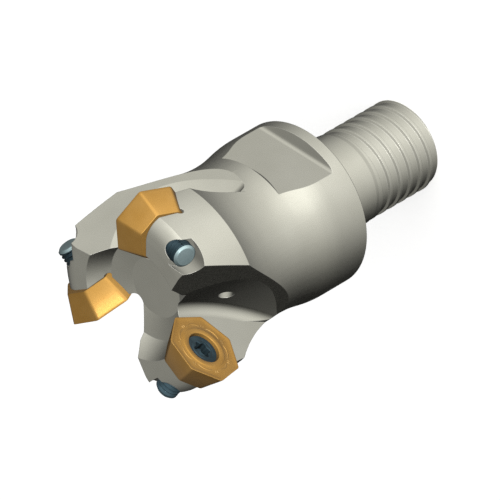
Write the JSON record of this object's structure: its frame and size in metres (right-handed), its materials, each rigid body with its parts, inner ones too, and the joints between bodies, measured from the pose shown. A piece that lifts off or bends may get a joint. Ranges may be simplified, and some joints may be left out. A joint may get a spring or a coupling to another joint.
{
  "type": "face mill",
  "caption": "Screw-on face mill head with a threaded modular shank, chip gullets, coolant outlets and heptagonal indexable inserts, each held in its pocket by a countersunk screw.",
  "frame": {"origin": "centre of the locating face, where the pilot leaves the body", "axes": "+Z along the cutter's axis from the shank to the cutting end, +X through the centre of the first insert's seat"},
  "size_m": [0.0361, 0.0341, 0.0649],
  "materials": {
    "body_steel": "satin nickel-plated hardened steel",
    "insert_coating": "satin gold hard coating on ground carbide",
    "screw_steel": "dark blued steel"
  },
  "bodies": {
    "cutter_body": {"cutter_body": "body_steel"},
    "insert_1": {"insert_1": "insert_coating"},
    "insert_screw_1": {"insert_screw_1": "screw_steel"},
    "insert_2": {"insert_2": "insert_coating"},
    "insert_screw_2": {"insert_screw_2": "screw_steel"},
    "insert_3": {"insert_3": "insert_coating"},
    "insert_screw_3": {"insert_screw_3": "screw_steel"}
  },
  "joints": [
    {"name": "insert_1_lift", "type": "slide", "parent": "cutter_body", "child": "insert_1", "axis": [0.062, 0.9593, -0.2756], "range_m": [0, 0.006]},
    {"name": "insert_screw_1_turn", "type": "hinge", "parent": "insert_1", "child": "insert_screw_1", "pos_m": [0.01273, 0, 0.0347], "axis": [0.062, 0.9593, -0.2756], "range_deg": [0, 3085.8]},
    {"name": "insert_2_lift", "type": "slide", "parent": "cutter_body", "child": "insert_2", "axis": [-0.8618, -0.4259, -0.2756], "range_m": [0, 0.006]},
    {"name": "insert_screw_2_turn", "type": "hinge", "parent": "insert_2", "child": "insert_screw_2", "pos_m": [-0.00636, 0.01103, 0.0347], "axis": [-0.8618, -0.4259, -0.2756], "range_deg": [0, 3085.8]},
    {"name": "insert_3_lift", "type": "slide", "parent": "cutter_body", "child": "insert_3", "axis": [0.7997, -0.5334, -0.2756], "range_m": [0, 0.006]},
    {"name": "insert_screw_3_turn", "type": "hinge", "parent": "insert_3", "child": "insert_screw_3", "pos_m": [-0.00636, -0.01103, 0.0347], "axis": [0.7997, -0.5334, -0.2756], "range_deg": [0, 3085.8]}
  ],
  "couplings": [
    {"joint": "insert_screw_1_turn", "follows": "insert_1_lift", "rad_per_m": 8976},
    {"joint": "insert_screw_2_turn", "follows": "insert_2_lift", "rad_per_m": 8976},
    {"joint": "insert_screw_3_turn", "follows": "insert_3_lift", "rad_per_m": 8976}
  ]
}
